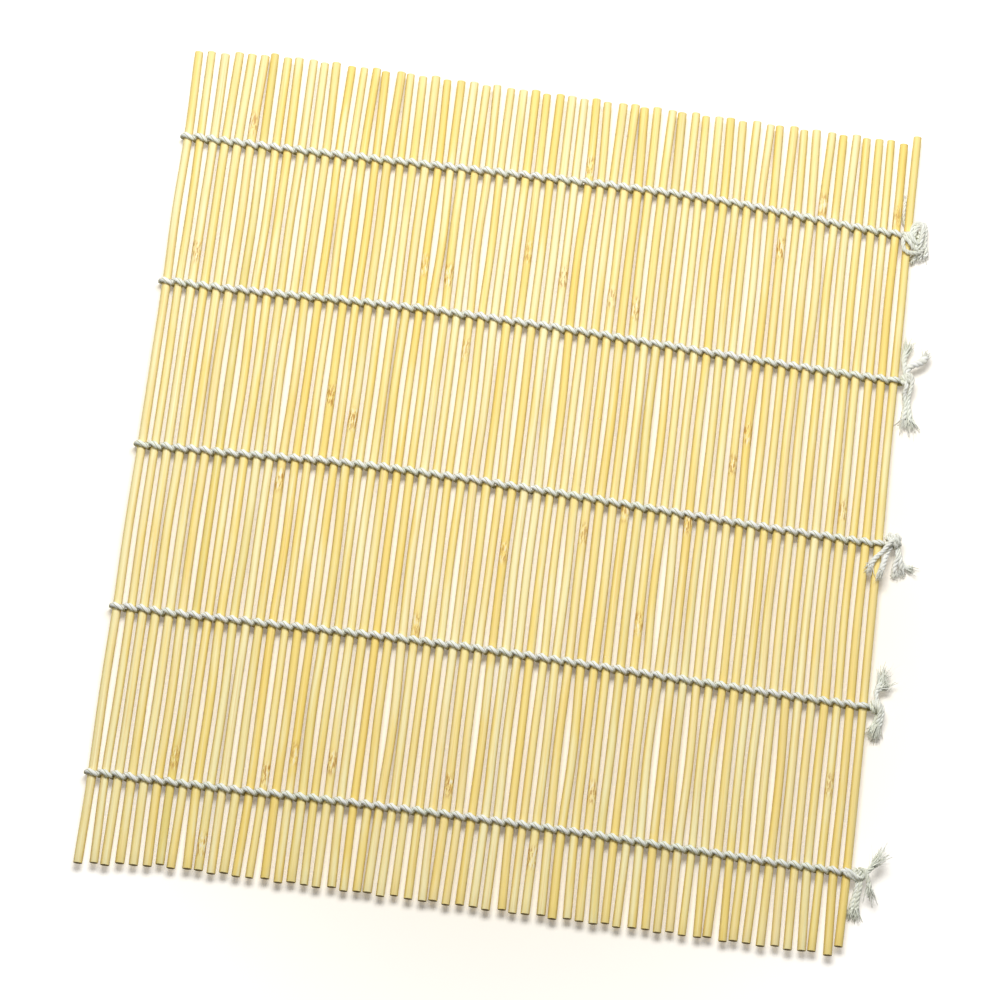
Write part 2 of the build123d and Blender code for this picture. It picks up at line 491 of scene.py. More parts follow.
def makeStick(stick):
    rng = random.Random(stickLook["firstSeed"] + stick)
    length = layout["stickLength"]
    nearFold = max(0, 1 - stick / stickLook["foldSticks"])
    usual = stickLook["radiusMean"] + (stickLook["radiusAtFold"] - stickLook["radiusMean"]) * nearFold
    share = clamp(rng.gauss(usual, stickLook["radiusSpread"]), stickLook["thinnest"], stickLook["widest"])
    piece = straightStick(layout["stickRadius"] * share, length)
    mesh = piece.data

    # a slight taper, and a swelling at each node scar
    lean = rng.uniform(-1, 1) * stickLook["taper"]
    # how far round to its side each point lies, which sets the painted shade there
    flankShadeMask = [abs(v.co.y) / max(math.hypot(v.co.y, v.co.z), 1e-6) for v in mesh.vertices]
    for vertex in mesh.vertices:
        along = vertex.co.x / length
        swell = 1 + lean * (along - 0.5)
        for scar in scars.get(stick, ()):
            away = (along - scar) * length / stickLook["scarLength"]
            swell *= 1 + (stickLook["scarSwell"] - 1) * math.exp(-(away ** 2))
        wave = noise.noise(Vector((vertex.co.x * stickLook["wavesPerMetre"], stick * 3.7, 0)))
        swell *= 1 + stickLook["waviness"] * wave
        vertex.co.y *= swell
        vertex.co.z *= swell

    nearEnd = stickMiddle(stick) - length / 2
    bow = bowPoints(stick, nearEnd, nearEnd + length, rng)
    guide, spline = newGuide("BEZIER", len(bow), resolution=8)
    for point, (y, x, z) in zip(spline.bezier_points, bow):
        point.co = (stickX(stick) + x, y, axisHeight + z)
        point.handle_left_type = point.handle_right_type = "AUTO"
    makeActive(piece)
    bend = piece.modifiers.new("bow", "CURVE")
    bend.object = guide
    bend.deform_axis = "POS_X"
    bpy.ops.object.modifier_apply(modifier=bend.name)
    bpy.data.objects.remove(guide)

    # its own tone, and the distance to its nearest node scar, for the material to read
    tones = standOut.get(stick)
    if not tones:
        spreads = [stickLook[name] for name in ("creaminess", "goldness", "greenness")]
        tones = [clamp(rng.gauss(mean, spread), 0, most) for mean, spread, most in spreads]
    creaminess, goldness, greenness = tones
    seed = rng.random()
    scarPlaces = [nearEnd + scar * length for scar in scars.get(stick, (-1,))]
    distances = [min((vertex.co.y - place for place in scarPlaces), key=abs) for vertex in mesh.vertices]
    mesh.color_attributes.new("stickTone", "FLOAT_COLOR", "POINT")
    mesh.attributes.new("scarDistance", "FLOAT", "POINT")
    mesh.attributes.new("flankShade", "FLOAT", "POINT")
    toneData = (creaminess, goldness, seed, greenness) * len(mesh.vertices)
    mesh.attributes["stickTone"].data.foreach_set("color", toneData)
    mesh.attributes["scarDistance"].data.foreach_set("value", distances)
    mesh.attributes["flankShade"].data.foreach_set("value", flankShadeMask)

    mesh.materials.append(bamboo)
    mesh.materials.append(cutBamboo)
    for polygon in mesh.polygons:
        polygon.material_index = 1 if abs(polygon.normal.y) > stickLook["cutFacing"] else 0
    bpy.ops.object.shade_smooth_by_angle(angle=math.radians(stickLook["smoothAngle"]))
    return piece


for link in range(linkCount):
    pieces = [makeStick(stick) for stick in sticksOfLink(link)]
    body = bodyOfLink(link)
    atKnots = link == linkCount - 1
    joined = joinPieces(pieces, "bamboo_sticks_at_knots" if atKnots else f"bamboo_pair_{link + 1:02d}")
    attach(joined, body)
    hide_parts("knot_edge_sticks" if atKnots else f"stick_pair_{link + 1:02d}")
print("bamboo sticks made")


# Cotton twine: the rows are ropes whose turns over the sticks are larger than those below
twineLook = {
    "lit": (255, 255, 253),
    "soft": (250, 254, 243),
    "shade": (243, 247, 227),
    "paintedCreaseShade": (164, 164, 104),
    "gapShadeAndSoil": (168, 160, 98),
    "gapShadeAndSoilStrength": 0.85,
    "gapShadeDepth": 0.0013,
    "gapShadeFade": 0.6,
    "fibreScale": (900.0, 26.0, 1.0),
    "fluffScale": 2600.0,
    "soilScale": 90.0,
    "relief": 0.00005,
    "radius": 0.00064,
    "swellOver": 0.00028,
    "valley": 0.82,
    "strandOffset": 0.0005,
    "turnHeight": 0.0019,
    "lobes": 3,
    "ringStep": 0.0006,
    "ringTurn": 36,
    "restHeight": 0.00004,
    "capReach": 0.00028,
    "capShrink": 0.66,
    "capShade": 0.3,
    "unevenness": 0.00016,
    "wanderScale": 210,
    "leanOver": 0.00012,
    "slopeOver": 0.3,
}
# The last turn of a strand, which straightens towards the knot: how far its parts reach
knotEntry = {
    "beforeKnot": 0.0012,
    "apart": 0.0002,
    "topOffset": 0.3,
    "climb": 0.00105,
    "topReach": 0.001,
    "endReach": 0.0009,
    "endDrop": 0.0003,
}


def makeTwine():
    material, tree = newMaterial("cotton_twine")
    # the map runs along the twine in U and once round it in V, turning with the plies
    lay = addNode(tree, "ShaderNodeUVMap", uv_map="twineLay").outputs[0]
    place = addNode(tree, "ShaderNodeTexCoord").outputs["Object"]
    stretch = addNode(tree, "ShaderNodeMapping", {"Vector": lay, "Scale": twineLook["fibreScale"]})
    fibre = noiseOf(tree, stretch.outputs[0], 1.0, 3.0, 0.6)
    fluff = noiseOf(tree, place, twineLook["fluffScale"], 4.0, 0.65)
    soil = noiseOf(tree, place, twineLook["soilScale"], 3.0)

    def colourOf(name):
        return fromScreen(*twineLook[name])

    base = mixColours(tree, rangeOf(tree, soil, 0.35, 0.68), colourOf("lit"), colourOf("soft"))
    base = mixColours(tree, rangeOf(tree, fibre, 0.46, 0.72, 0.0, 0.6), base, colourOf("shade"))
    base = mixColours(tree, rangeOf(tree, fluff, 0.5, 0.7, 0.0, 0.35), base, colourOf("shade"))
    # painted shade where the strands cross between the sticks, strongest at the height of their axes, in an
    # olive tone that the knots and tails take as a soiling that differs at random from ply to ply; painted
    # shade in the creases between the plies
    gapShadeAndSoil = times(tree, attributeOf(tree, "gapShadeAndSoil")["Fac"], twineLook["gapShadeAndSoilStrength"])
    base = mixColours(tree, gapShadeAndSoil, base, colourOf("gapShadeAndSoil"))
    # painted shade in the creases where the plies meet
    paintedCreaseShade = rangeOf(tree, attributeOf(tree, "plyHeight")["Fac"], 0.3, 0.04, 0.0, 0.75)
    base = mixColours(tree, paintedCreaseShade, base, colourOf("paintedCreaseShade"))
    relief = mathOf(tree, "ADD", times(tree, fibre, 0.6), times(tree, fluff, 0.4))
    addSurface(tree, {
        "Base Color": base,
        "Roughness": 0.9,
        "Specular IOR Level": 0.12,
        "Sheen Weight": 0.2,
        "Sheen Roughness": 0.5,
        "Normal": bumpOf(tree, relief, 0.6, twineLook["relief"]),
    })
    return material


twine = makeTwine()


def pointsAlong(guide):
    # the points along a curve, read from the curve itself, which is then removed
    mesh = bpy.data.meshes.new_from_object(guide)
    points = [vertex.co.copy() for vertex in mesh.vertices]
    bpy.data.meshes.remove(mesh)
    bpy.data.objects.remove(guide)
    return points


def walkRoute(route):
    # each entry of the route is (handle, point, handle)
    guide, spline = newGuide("BEZIER", len(route), resolution=16)
    for point, (before, middle, after) in zip(spline.bezier_points, route):
        point.handle_left_type = point.handle_right_type = "FREE"
        point.handle_left, point.co, point.handle_right = before, middle, after
    return pointsAlong(guide)


def smoothLine(places):
    # the points along a smooth curve drawn through a few places
    guide, spline = newGuide("NURBS", len(places), resolution=12)
    for point, place in zip(spline.points, places):
        point.co = (*place, 1)
    spline.order_u = 3
    spline.use_endpoint_u = True
    return pointsAlong(guide)


def evenSteps(points, step):
    # the same line in equal steps, as near to the wanted step as fits
    lengths = [0.0]
    for a, b in zip(points, points[1:]):
        lengths.append(lengths[-1] + (b - a).length)
    count = max(1, round(lengths[-1] / step))
    result = []
    at = 0
    for k in range(count + 1):
        target = lengths[-1] * k / count
        while at < len(points) - 2 and lengths[at + 1] < target:
            at += 1
        span = lengths[at + 1] - lengths[at]
        share = (target - lengths[at]) / span if span else 0
        result.append(points[at].lerp(points[at + 1], clamp(share)))
    return result


def halfTurn(start, finish, rise):
    # one half circle over or under a stick, as two free curve spans: start, apex, finish
    middle = (start + finish) / 2
    outward = (finish - start) / 2
    lift = up * rise * outward.length
    handle = 0.5523  # makes a quarter circle of a free span
    apex = middle + lift
    return (
        (start, start + lift * handle),
        (apex - outward * handle, apex, apex + outward * handle),
        (finish + lift * handle, finish),
    )


def overTurn(start, finish):
    # it starts nearly level and dives at its far side
    first, (before, apex, after), last = halfTurn(start, finish, 1)
    lean = Vector((0, twineLook["leanOver"], 0))
    slope = Vector((0, twineLook["slopeOver"] * (apex.x - before.x), 0))
    return first, (before + lean + slope, apex + lean, after + lean - slope), last


def turnToKnot(start, stick, rise):
    # it straightens towards the knot instead of diving into a gap
    middle = (stick + 0.5) * pitch
    apart = knotEntry["apart"] * rise
    finishX = middle + layout["knotDistance"] - knotEntry["beforeKnot"]
    finish = Vector((finishX, apart, layout["knotHeight"] + apart))
    offset = rise * twineLook["strandOffset"] * knotEntry["topOffset"]
    apex = Vector((middle, offset, axisHeight + rise * twineLook["turnHeight"]))
    reach = Vector((knotEntry["topReach"], 0, 0))
    return (
        (start, start + up * rise * knotEntry["climb"]),
        (apex - reach, apex, apex + reach),
        (finish - Vector((knotEntry["endReach"], 0, -knotEntry["endDrop"] * rise)), finish),
    )


def strandRoute(stickTotal, overFirst, folded=False, toKnot=False):
    # a strand's route past some sticks, from X 0 at the gap before the first one
    offset = twineLook["strandOffset"]
    points = []
    rise = 1 if overFirst else -1
    start = Vector((0, 0 if folded else rise * offset, axisHeight))
    for stick in range(stickTotal):
        finish = Vector(((stick + 1) * pitch, -rise * offset, axisHeight))
        if toKnot and stick == stickTotal - 1:
            first, top, last = turnToKnot(start, stick, rise)
        elif rise > 0:
            first, top, last = overTurn(start, finish)
        else:
            first, top, last = halfTurn(start, finish, rise)
        if points:
            points[-1] = (points[-1][0], points[-1][1], first[1])
        else:
            points.append((start - (first[1] - start), start, first[1]))
        points.append(top)
        points.append((last[0], last[1], last[1] + (last[1] - last[0])))
        start = finish
        rise = -rise
    return points


def foldRoute(stickTotal):
    # the string at the folded edge: in along one strand, round the first stick, and out along the other
    over = strandRoute(stickTotal, True, folded=True)
    under = strandRoute(stickTotal, False, folded=True)
    inward = [(after, point, before) for before, point, after in reversed(over)]
    turned = (inward[-1][0], inward[-1][1], under[0][2])
    return inward[:-1] + [turned] + under[1:]


def tubeFaces(first, rings, sides):
    # the faces of a closed tube, whose corners are numbered ring by ring
    faces = []
    end = first + (rings - 1) * sides
    for low in range(first, end, sides):
        for corner in range(sides):
            after = (corner + 1) % sides
            faces.append((low + corner, low + after, low + sides + after, low + sides + corner))
    faces.append(tuple(first + corner for corner in reversed(range(sides))))
    faces.append(tuple(end + corner for corner in range(sides)))
    return faces


def stringMesh(name, shape):
    # with how high each point stands on its ply, how soiled it is (on the twine rows this attribute later
    # holds painted shade between the sticks instead), and a map along and round the string
    mesh = bpy.data.meshes.new(name)
    mesh.from_pydata(shape["verts"], [], shape["faces"])
    mesh.attributes.new("plyHeight", "FLOAT", "POINT")
    mesh.attributes.new("gapShadeAndSoil", "FLOAT", "POINT")
    mesh.attributes["plyHeight"].data.foreach_set("value", shape["heights"])
    if shape["soil"]:
        mesh.attributes["gapShadeAndSoil"].data.foreach_set("value", shape["soil"])
    uv = mesh.uv_layers.new(name="twineLay")
    lay = shape["lay"]
    for polygon in mesh.polygons:
        around = [lay[mesh.loops[loop].vertex_index][1] for loop in polygon.loop_indices]
        wraps = max(around) - min(around) > 0.5
        for loop in polygon.loop_indices:
            u, v = lay[mesh.loops[loop].vertex_index]
            uv.data[loop].uv = (u, v + 1 if wraps and v < 0.5 else v)
    mesh.materials.append(twine)
    mesh.update()
    piece = bpy.data.objects.new(name, mesh)
    bpy.context.scene.collection.objects.link(piece)
    makeActive(piece)
    bpy.ops.object.mode_set(mode="EDIT")
    bpy.ops.mesh.select_all(action="SELECT")
    bpy.ops.mesh.normals_make_consistent(inside=False)
    bpy.ops.object.mode_set(mode="OBJECT")
    bpy.ops.object.shade_smooth()
    return piece


def emptyShape():
    return {"verts": [], "faces": [], "heights": [], "lay": [], "soil": []}


def ropeAlong(name, points):
    # a rope of plies: rings of high and low corners, which turn a step at each ring
    line = evenSteps(points, twineLook["ringStep"])
    corners = twineLook["lobes"] * 2
    ringTurn = math.radians(twineLook["ringTurn"])
    reach = twineLook["capReach"]
    sideways = Vector((0, 1, 0))
    shape = emptyShape()

    def addRing(centre, tangent, step, along, cap=False):
        side = (sideways - tangent * sideways.dot(tangent)).normalized()
        out = tangent.cross(side)
        lifted = max(0, (centre.z - axisHeight) / twineLook["turnHeight"])
        size = twineLook["radius"] + twineLook["swellOver"] * lifted
        size *= twineLook["capShrink"] if cap else 1
        for corner in range(corners):
            angle = step * ringTurn + corner * 2 * math.pi / corners
            high = corner % 2 == 0
            radius = size * (1 if high else twineLook["valley"])
            shape["verts"].append(centre + (side * math.cos(angle) + out * math.sin(angle)) * radius)
            shape["heights"].append(twineLook["capShade"] if cap else 1.0 if high else 0.0)
            shape["lay"].append((along, corner / corners))

    last = len(line) - 1
    tangents = [(line[min(k + 1, last)] - line[max(k - 1, 0)]).normalized() for k in range(last + 1)]
    addRing(line[0] - tangents[0] * reach, tangents[0], -0.5, -reach, cap=True)
    along = 0.0
    for index, (centre, tangent) in enumerate(zip(line, tangents)):
        along += (centre - line[index - 1]).length if index else 0
        addRing(centre, tangent, index, along)
    addRing(line[last] + tangents[last] * reach, tangents[last], last + 0.5, along + reach, cap=True)
    shape["faces"] = tubeFaces(0, last + 3, corners)
    return stringMesh(name, shape)


def layOnRow(piece, row, fromX):
    # carries a strand to its row, which runs a little out of line
    for vertex in piece.data.vertices:
        x = vertex.co.x + fromX
        wander = noise.noise(Vector((x * twineLook["wanderScale"], row * 7.3, 0))) * twineLook["unevenness"]
        vertex.co.x = x
        vertex.co.y += rowPlace(row) + rowWave(row, x) + wander
        vertex.co.z = max(vertex.co.z, twineLook["restHeight"])
    # painted shade where the strand lies between the sticks, near the height of their axes, fading above and
    # below
    depth = twineLook["gapShadeDepth"]
    fade = depth * twineLook["gapShadeFade"]
    gapShade = [clamp((depth - abs(vertex.co.z - axisHeight)) / fade) for vertex in piece.data.vertices]
    piece.data.attributes["gapShadeAndSoil"].data.foreach_set("value", gapShade)
    piece.data.update()


def copyPiece(piece, name):
    copied = piece.copy()
    copied.data = piece.data.copy()
    copied.name = copied.data.name = name
    bpy.context.scene.collection.objects.link(copied)
    return copied


templates = {}
for kind, link in (("plain", 1), ("knot", linkCount - 1)):
    for strand in range(2):
        route = strandRoute(len(sticksOfLink(link)), strand == 0, toKnot=kind == "knot")
        templates[kind, strand] = ropeAlong(f"strand_{kind}_{strand}", walkRoute(route))
templates["fold", 0] = ropeAlong("strand_fold", walkRoute(foldRoute(len(sticksOfLink(0)))))

for link in range(linkCount):
    atKnots = link == linkCount - 1
    kind = "fold" if link == 0 else "knot" if atKnots else "plain"
    fromX = stickX(sticksOfLink(link)[0]) - pitch / 2
    strands = []
    for row in range(rowCount):
        for strand in range(1 if kind == "fold" else 2):
            turned = copyPiece(templates[kind, strand], f"strand_{link}_{row}_{strand}")
            layOnRow(turned, row, fromX)
            strands.append(turned)
    joined = joinPieces(strands, "twine_turns_at_knots" if atKnots else f"twine_turns_{link + 1:02d}")
    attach(joined, bodyOfLink(link))
    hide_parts("knot_edge_twine" if atKnots else f"twine_wraps_{link + 1:02d}")
for template in templates.values():
    bpy.data.objects.remove(template)
print("twine turns made")


# Knots and loose tails: plied string, drawn with each ply as its own tube
knotLook = {
    "firstSeed": 40,
    "radius": 0.00066,
    "endRadius": 0.00102,
    "looseFrom": 0.25,
    "plies": 3,
    "plySides": 6,
    "plyOffset": 0.5,
    "plyRadius": 0.56,
    "plyEnd": 0.6,
    "plyLooseness": 0.12,
    "plyUnevenness": 0.08,
    "creaseFrom": 0.7,
    "ringStep": 0.00034,
    "layLength": 0.0042,
    "coilSteps": 8,
    "coilLift": 1.05,
    "restHeight": 0.00006,
    "knotSoil": (0.08, 0.34),
    "tailSoil": (0.0, 0.26),
}
frayLook = {
    # for the yarns and the single fibres: how many to a ply, the radius, the reach and the sides
    "kinds": ((10, 0.00019, 1.0, 4), (8, 0.00006, 1.15, 3)),
    "rings": 6,
    "lean": 0.6,
    "leanSpread": (1, 1, 0.7),
    "curl": 0.7,
    "curlSpread": (1, 1, 0.4),
    "sag": -0.3,
    "scatter": 0.00028,
    "overlap": 0.0005,
    "shortest": 0.72,
    "thinning": 0.6,
}
# Lengths here are in millimetres: across and along from the knot's middle, and height above the table.
# A coil is the turns drawn tight in the knot: its start, its finish, its radii on the way and its turns.
# A strand is a string laid through its points. A tail also has the length and the spread of its frayed end,
# and its thickness beside the usual one.
perMetre = 1000
knots = (
    {
        "coils": (((0.0, -1.4, 2.2), (0.1, 2.2, 2.3), (0.7, 1.25, 0.9, 0.5), 2.8),),
        "strands": (
            ((-2.7, 0.2, 3.6), (-2.9, 2.0, 4.1), (-1.9, 4.2, 3.4), (0.2, 4.9, 2.7), (1.6, 3.8, 2.4),
             (1.4, 1.0, 2.7), (1.7, -1.9, 2.4)),
            ((-2.0, -0.6, 3.0), (-1.9, 1.6, 4.0), (-1.1, 3.5, 4.1), (0.2, 3.6, 4.2), (0.5, 1.6, 4.3),
             (0.2, -1.0, 4.1), (-0.2, -3.6, 3.3)),
            ((-5.0, -0.9, 4.0), (-5.1, -3.0, 4.4), (-4.5, -4.9, 4.5), (-2.8, -5.4, 4.2), (-0.9, -4.9, 3.4),
             (0.8, -3.7, 2.6), (1.5, -1.9, 2.2)),
            ((-5.0, 0.3, 4.0), (-4.4, 0.2, 4.7), (-3.1, -0.8, 5.0), (-1.7, -2.0, 4.7), (-0.4, -2.4, 3.9)),
            ((-5.1, -0.6, 4.1), (-4.4, -1.1, 4.8), (-3.2, -2.3, 4.9), (-2.0, -3.7, 4.5), (-0.7, -4.2, 3.6)),
        ),
        "tails": (
            (((1.5, -1.2, 2.5), (1.8, -2.4, 2.2), (2.3, -3.4, 1.7), (2.1, -4.6, 1.0)), 1.5, 0.5, 1.0),
            (((0.2, -2.4, 3.1), (0.2, -3.4, 2.9), (0.6, -4.6, 2.0), (0.3, -5.4, 1.2)), 1.1, 0.5, 1.0),
            (((-4.5, 0.2, 3.9), (-3.5, 0.1, 4.8), (-2.4, -0.8, 4.4), (-1.3, -2.1, 3.8), (-0.8, -3.7, 3.3),
             (-1.0, -5.1, 2.3), (-1.5, -6.4, 1.2)), 1.5, 0.5, 1.0),
            (((-1.2, 1.0, 1.5), (-3.2, 2.6, 0.7), (-4.9, 4.6, 0.8), (-5.4, 6.6, 1.6), (-5.35, 9.0, 2.0),
             (-5.35, 11.4, 1.8)), 1.8, 0.2, 0.62),
        ),
    },
    {
        "coils": (
            ((-0.8, -0.3, 2.3), (0.2, 2.2, 2.6), (1.0, 1.5, 1.1), 2.3),
            ((-0.4, 0.2, 2.3), (0.3, 1.4, 2.5), (0.5, 0.6), 1.0),
        ),
        "strands": (
            ((-0.6, 1.8, 3.2), (0.3, 2.7, 3.9), (1.5, 1.6, 3.7), (1.6, -0.5, 3.4), (1.3, -2.3, 3.0)),
            ((-0.7, 0.2, 3.8), (-0.1, -0.8, 4.4), (-0.1, -2.1, 4.0), (-0.6, -3.2, 3.2)),
        ),
        "tails": (
            (((1.4, -1.6, 3.2), (1.2, -2.6, 2.9), (1.0, -3.8, 2.2), (1.2, -5.8, 1.6), (1.7, -8.4, 1.4),
             (2.2, -10.0, 1.2)), 3.6, 0.4, 1.0),
            (((-0.3, -2.5, 3.7), (-0.6, -3.4, 3.1), (0.1, -4.9, 2.3), (0.6, -7.0, 1.8), (0.3, -9.0, 1.6),
             (0.4, -10.4, 1.2)), 3.2, 0.45, 1.0),
            (((0.5, 0.3, 2.4), (0.0, 1.6, 3.2), (-1.0, 3.1, 3.5), (-1.1, 5.2, 3.2), (-1.4, 7.2, 2.7),
             (-1.0, 8.8, 2.4)), 4.6, 0.34, 1.0),
            (((0.1, 1.0, 2.2), (-0.3, 2.7, 3.0), (-0.1, 4.2, 3.4), (1.1, 5.5, 3.6), (2.9, 6.3, 3.4),
             (4.3, 7.2, 3.1), (4.7, 8.5, 2.9)), 1.9, 0.5, 1.3),
        ),
    },
    {
        "coils": (
            ((-0.7, -0.3, 2.7), (1.5, 3.2, 3.2), (0.5, 1.8, 2.3, 2.0, 0.6), 3.4),
            ((-0.2, 0.6, 2.8), (1.2, 2.2, 3.0), (0.5, 1.0, 0.5), 1.4),
        ),
        "strands": (
            ((1.4, 1.7, 3.6), (0.2, 1.3, 5.2), (-1.1, -0.3, 5.2), (-2.3, -2.4, 4.8)),
        ),
        "tails": (
            (((-1.6, -1.4, 4.95), (-2.3, -2.4, 4.8), (-3.8, -3.9, 4.5), (-4.9, -5.5, 4.3),
             (-5.4, -6.8, 4.2)), 2.4, 0.55, 0.95),
            (((0.2, -0.1, 3.2), (-0.9, -2.2, 3.6), (-1.6, -4.6, 4.2), (-2.3, -8.0, 4.6)), 3.0, 0.3, 1.0),
            (((1.5, -0.1, 2.6), (2.3, -2.4, 2.8), (1.9, -4.2, 2.2), (1.6, -5.8, 1.5), (1.9, -7.2, 1.1)),
             1.8, 0.45, 0.95),
            (((2.1, 0.1, 2.4), (2.9, -2.7, 2.6), (3.3, -4.5, 2.0), (3.8, -6.0, 1.3)), 2.2, 0.45, 0.95),
            (((2.6, -2.2, 1.8), (3.3, -3.9, 1.5), (4.6, -5.0, 1.2), (5.8, -5.3, 1.0)), 2.0, 0.4, 0.95),
        ),
    },
    {
        "coils": (
            ((-1.1, -0.4, 2.3), (1.1, 1.7, 2.6), (0.9, 1.65, 1.6, 0.8), 2.6),
            ((-0.4, 0.2, 2.3), (0.7, 1.0, 2.5), (0.5, 0.7), 1.0),
        ),
        "strands": (
            ((0.2, 1.4, 3.0), (0.7, 1.2, 3.7), (1.3, -0.2, 3.8), (1.2, -2.6, 3.0)),
        ),
        "tails": (
            (((0.4, 0.9, 3.2), (0.0, 2.9, 3.4), (-0.4, 4.6, 3.0), (0.3, 6.2, 2.8), (0.7, 7.6, 2.6)),
             5.0, 0.38, 1.0),
            (((-0.3, 4.4, 2.6), (0.3, 5.5, 2.5), (1.1, 6.2, 2.6)), 3.4, 0.4, 0.95),
            (((1.3, -1.4, 3.5), (1.2, -2.6, 3.0), (0.9, -4.2, 2.3)), 5.2, 0.22, 0.95),
            (((1.4, 1.4, 3.0), (2.1, -0.1, 3.2), (1.9, -2.6, 2.4), (1.6, -4.8, 1.9)), 4.6, 0.22, 0.95),
            (((0.6, -0.8, 1.6), (0.5, -2.8, 1.6), (0.1, -4.6, 1.4)), 3.4, 0.34, 0.7),
        ),
    },
    {
        "coils": (((-1.8, 0.2, 2.5), (1.6, 0.3, 2.7), (0.9, 1.35, 1.5, 1.1), 2.6),),
        "strands": (
            ((-4.5, 0.8, 4.1), (-3.2, 0.2, 4.6), (-1.5, -0.8, 4.0), (0.3, -1.3, 3.6), (1.3, 0.0, 3.4)),
            ((-0.5, 1.3, 3.6), (1.0, 1.4, 4.3), (1.9, -0.3, 4.4), (2.5, -2.4, 4.2)),
            ((-4.6, -0.2, 4.1), (-3.4, -0.8, 4.5), (-2.2, -1.2, 3.6), (-0.8, -1.6, 3.0), (0.8, -1.2, 2.8)),
        ),
        "tails": (
            (((0.5, -0.3, 3.6), (1.6, 0.3, 4.3), (2.5, 1.5, 4.4), (3.1, 2.4, 4.4)), 5.6, 0.42, 0.9),
            (((2.2, -1.4, 4.3), (2.6, -2.7, 4.15), (2.9, -3.4, 3.9)), 3.8, 0.42, 0.9),
            (((-0.5, -0.6, 2.2), (-0.4, -2.5, 2.6), (-0.6, -5.0, 2.0), (-1.0, -7.6, 1.6), (-1.3, -9.6, 1.3)),
             3.0, 0.35, 0.95),
            (((0.3, -0.9, 2.6), (0.6, -2.9, 3.0), (0.3, -5.0, 2.4), (-0.1, -7.6, 1.9), (0.1, -9.6, 1.4)),
             3.0, 0.4, 0.95),
        ),
    },
)


def framesAlong(line):
    # a tangent, a side and an out direction at each point, carried along the line without twisting
    frames = []
    side = None
    for index in range(len(line)):
        tangent = (line[min(index + 1, len(line) - 1)] - line[max(index - 1, 0)]).normalized()
        if side is None:
            side = tangent.cross(up) if abs(tangent.z) < 0.9 else tangent.cross(Vector((0, 1, 0)))
        side = (side - tangent * side.dot(tangent)).normalized()
        frames.append((tangent, side, tangent.cross(side)))
    return frames


def addTube(shape, line, radii, sides, soil, heightOf=None):
    # one closed tube, whose rings follow the line
    first = len(shape["verts"])
    along = 0.0
    for index, (centre, radius, (tangent, side, out)) in enumerate(zip(line, radii, framesAlong(line))):
        along += (centre - line[index - 1]).length if index else 0
        for corner in range(sides):
            angle = corner * 2 * math.pi / sides
            place = centre + side * math.cos(angle) * radius + out * math.sin(angle) * radius
            place.z = max(place.z, knotLook["restHeight"])
            shape["verts"].append(place)
            shape["heights"].append(heightOf(index, place) if heightOf else 1.0)
            shape["lay"].append((along, corner / sides))
            shape["soil"].append(soil)
    shape["faces"] += tubeFaces(first, len(line), sides)


def addString(shape, points, rng, soil, slack=0.0, thickness=1.0):
    # a plied string, looser towards a free end. Gives back where each ply ends, and its direction
    line = evenSteps(smoothLine(points), knotLook["ringStep"])
    frames = framesAlong(line)
    start = rng.random() * 2 * math.pi
    last = len(line) - 1
    looseness = [slack * max(0, index / last - knotLook["looseFrom"]) for index in range(last + 1)]
    size = [(knotLook["radius"] + loose) * thickness for loose in looseness]

    # how far out from the string's axis each point lies: the inner parts of the plies, where they meet, get
    # painted shade
    def heightOf(index, place):
        share = (place - line[index]).length / size[index]
        return clamp((share - knotLook["creaseFrom"]) / (1 - knotLook["creaseFrom"]))

    ends = []
    for ply in range(knotLook["plies"]):
        centres, radii = [], []
        for index, (centre, (tangent, side, out)) in enumerate(zip(line, frames)):
            turns = ply / knotLook["plies"] + index * knotLook["ringStep"] / knotLook["layLength"]
            angle = start + 2 * math.pi * turns
            loose = 1 + knotLook["plyLooseness"] * noise.noise(Vector((index * 0.31, ply * 5.1, start)))
            outward = side * math.cos(angle) + out * math.sin(angle)
            centres.append(centre + outward * size[index] * knotLook["plyOffset"] * loose)
            uneven = 1 + knotLook["plyUnevenness"] * noise.noise(Vector((index * 0.5, ply, start)))
            share = knotLook["plyEnd"] if index in (0, last) else uneven
            radii.append(size[index] * knotLook["plyRadius"] * share)
        addTube(shape, centres, radii, knotLook["plySides"], rng.uniform(*soil), heightOf)
        ends.append((centres[-1], frames[-1][0]))
    return ends


def randomWay(rng, spreads, sag=0.0):
    # a random direction, with its own spread along each axis
    x, y, z = spreads
    return Vector((rng.gauss(0, x), rng.gauss(0, y), rng.gauss(sag, z)))


def addFray(shape, ends, length, spread, rng):
    # the plies come apart into yarns, and the yarns into single fibres
    rings = frayLook["rings"]
    shares = [step / (rings - 1) for step in range(rings)]
    for place, direction in ends:
        for count, thick, reach, sides in frayLook["kinds"]:
            for strand in range(count):
                lean = randomWay(rng, frayLook["leanSpread"]) * spread * frayLook["lean"]
                curl = randomWay(rng, frayLook["curlSpread"], frayLook["sag"]) * spread * frayLook["curl"]
                scatter = Vector([rng.uniform(-1, 1) for axis in range(3)]) * frayLook["scatter"]
                start = place + scatter - direction * frayLook["overlap"]
                far = length * reach * rng.uniform(frayLook["shortest"], 1.0)
                line = [start + (direction * t + lean * t + curl * t * t * 0.5) * far for t in shares]
                for point in line:
                    point.z = max(point.z, knotLook["restHeight"] + thick)
                radii = [thick * (1 - frayLook["thinning"] * t) for t in shares]
                addTube(shape, line, radii, sides, rng.uniform(*knotLook["tailSoil"]))


